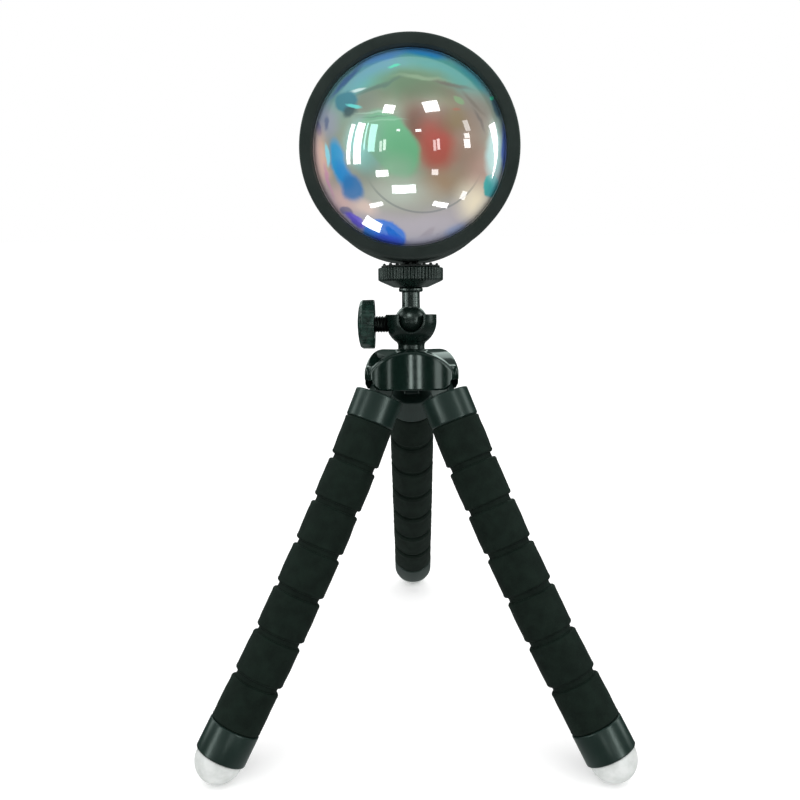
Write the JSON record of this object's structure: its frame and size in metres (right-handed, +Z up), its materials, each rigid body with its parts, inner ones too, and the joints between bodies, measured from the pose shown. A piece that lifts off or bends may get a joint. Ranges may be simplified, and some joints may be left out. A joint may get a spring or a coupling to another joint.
{
  "type": "projection lamp",
  "caption": "Sunset projection lamp: domed glass lens in a round black head, on a ball head and a bendable three-legged foam stand.",
  "frame": {"origin": "on the table, under the middle of the box around the whole lamp", "axes": "+Z up from the table, the longest way through the lamp; -Y is the way the lens faces, +X is to the viewer's right"},
  "size_m": [0.1502, 0.1624, 0.2467],
  "materials": {
    "housing_plastic": "matte",
    "bezel_plastic": "matte",
    "inner_plastic": "matte",
    "black_plastic": "gloss",
    "satin_plastic": "satin",
    "lens_glass": "gloss",
    "filter_glass": "gloss",
    "seal_rubber": "matte",
    "pad_rubber": "matte",
    "foot_rubber": "satin",
    "foam": "matte",
    "brass": "satin",
    "steel": "satin",
    "black_steel": "satin",
    "aluminium": "satin",
    "reflector_metal": "polished",
    "board_white": "satin",
    "board_green": "satin",
    "emitter": "gloss",
    "wire_sleeve": "satin",
    "thermal_pad": "matte"
  },
  "bodies": {
    "hub": {"hub": "black_plastic", "hub_screw": "steel", "hinge_pins": "steel", "ball_cup": "black_plastic", "clamp_pad": "brass"},
    "clamp": {"lock_knob": "black_plastic", "knob_screw": "black_steel"},
    "stem": {"ball_stem": "black_plastic", "mount_screw": "black_steel"},
    "wheel": {"shoe_wheel": "black_plastic", "shoe_pad": "pad_rubber"},
    "lamp": {"lamp_housing": "housing_plastic", "front_bezel": "bezel_plastic", "front_lens": "lens_glass", "lens_seal": "seal_rubber", "filter_holder": "inner_plastic", "dichroic_filter": "filter_glass", "led_reflector": "reflector_metal", "led_emitter": "emitter", "led_board": "board_white", "thermal_pad": "thermal_pad", "heat_sink": "aluminium", "board_screws": "steel", "led_leads": "wire_sleeve", "driver_board": "board_green", "rear_cover": "housing_plastic", "rear_screws": "black_steel", "cable_gland": "seal_rubber", "mount_insert": "brass"},
    "left_leg_1": {"left_leg_head": "satin_plastic", "left_foam_1": "foam", "left_core": "aluminium"},
    "left_leg_2": {"left_foam_2": "foam"},
    "left_leg_3": {"left_foam_3": "foam"},
    "left_leg_4": {"left_foam_4": "foam", "left_ferrule": "satin_plastic", "left_foot": "foot_rubber"},
    "right_leg_1": {"right_leg_head": "satin_plastic", "right_foam_1": "foam", "right_core": "aluminium"},
    "right_leg_2": {"right_foam_2": "foam"},
    "right_leg_3": {"right_foam_3": "foam"},
    "right_leg_4": {"right_foam_4": "foam", "right_ferrule": "satin_plastic", "right_foot": "foot_rubber"},
    "rear_leg_1": {"rear_leg_head": "satin_plastic", "rear_foam_1": "foam", "rear_core": "aluminium"},
    "rear_leg_2": {"rear_foam_2": "foam"},
    "rear_leg_3": {"rear_foam_3": "foam"},
    "rear_leg_4": {"rear_foam_4": "foam", "rear_ferrule": "satin_plastic", "rear_foot": "foot_rubber"}
  },
  "joints": [
    {"name": "ball_tilt", "type": "hinge", "parent": "hub", "child": "stem", "pos_m": [0, -0.01458, 0.14893], "axis": [1, 0, 0], "range_deg": [-30, 90]},
    {"name": "lamp_turn", "type": "hinge", "parent": "stem", "child": "lamp", "pos_m": [0, -0.01157, 0.17067], "axis": [0, 0.137, 0.9906], "continuous": true},
    {"name": "wheel_turn", "type": "hinge", "parent": "stem", "child": "wheel", "pos_m": [0, -0.01193, 0.16809], "axis": [0, 0.137, 0.9906], "continuous": true},
    {"name": "clamp_turn", "type": "hinge", "parent": "hub", "child": "clamp", "pos_m": [-0.0134, -0.01472, 0.14794], "axis": [-1, 0, 0], "continuous": true},
    {"name": "left_fold", "type": "hinge", "parent": "hub", "child": "left_leg_1", "pos_m": [-0.00935, -0.02275, 0.12926], "axis": [0.5, -0.8579, 0.1186], "range_deg": [-18, 25]},
    {"name": "left_bend_1", "type": "hinge", "parent": "left_leg_1", "child": "left_leg_2", "pos_m": [-0.02116, -0.03362, 0.10043], "axis": [-0.5, 0.8579, -0.1186], "range_deg": [-14, 11], "deforming": ["left_core"]},
    {"name": "left_bend_2", "type": "hinge", "parent": "left_leg_2", "child": "left_leg_3", "pos_m": [-0.03379, -0.04487, 0.07232], "axis": [-0.5, 0.8579, -0.1186], "range_deg": [-14, 11], "deforming": ["left_core"]},
    {"name": "left_bend_3", "type": "hinge", "parent": "left_leg_3", "child": "left_leg_4", "pos_m": [-0.0473, -0.05654, 0.04481], "axis": [-0.5, 0.8579, -0.1186], "range_deg": [-14, 11], "deforming": ["left_core"]},
    {"name": "right_fold", "type": "hinge", "parent": "hub", "child": "right_leg_1", "pos_m": [0.00935, -0.02275, 0.12926], "axis": [0.5, 0.8579, -0.1186], "range_deg": [-18, 25]},
    {"name": "right_bend_1", "type": "hinge", "parent": "right_leg_1", "child": "right_leg_2", "pos_m": [0.02116, -0.03362, 0.10043], "axis": [-0.5, -0.8579, 0.1186], "range_deg": [-14, 11], "deforming": ["right_core"]},
    {"name": "right_bend_2", "type": "hinge", "parent": "right_leg_2", "child": "right_leg_3", "pos_m": [0.03379, -0.04487, 0.07232], "axis": [-0.5, -0.8579, 0.1186], "range_deg": [-14, 11], "deforming": ["right_core"]},
    {"name": "right_bend_3", "type": "hinge", "parent": "right_leg_3", "child": "right_leg_4", "pos_m": [0.0473, -0.05654, 0.04481], "axis": [-0.5, -0.8579, 0.1186], "range_deg": [-14, 11], "deforming": ["right_core"]},
    {"name": "rear_fold", "type": "hinge", "parent": "hub", "child": "rear_leg_1", "pos_m": [0, -0.0067, 0.12704], "axis": [-1, 0, 0], "range_deg": [-6, 38]},
    {"name": "rear_bend_1", "type": "hinge", "parent": "rear_leg_1", "child": "rear_leg_2", "pos_m": [0, 0.00986, 0.0985], "axis": [1, 0, 0], "range_deg": [-14, 10], "deforming": ["rear_core"]},
    {"name": "rear_bend_2", "type": "hinge", "parent": "rear_leg_2", "child": "rear_leg_3", "pos_m": [0, 0.02745, 0.07081], "axis": [1, 0, 0], "range_deg": [-14, 10], "deforming": ["rear_core"]},
    {"name": "rear_bend_3", "type": "hinge", "parent": "rear_leg_3", "child": "rear_leg_4", "pos_m": [0, 0.04613, 0.04386], "axis": [1, 0, 0], "range_deg": [-14, 10], "deforming": ["rear_core"]}
  ]
}
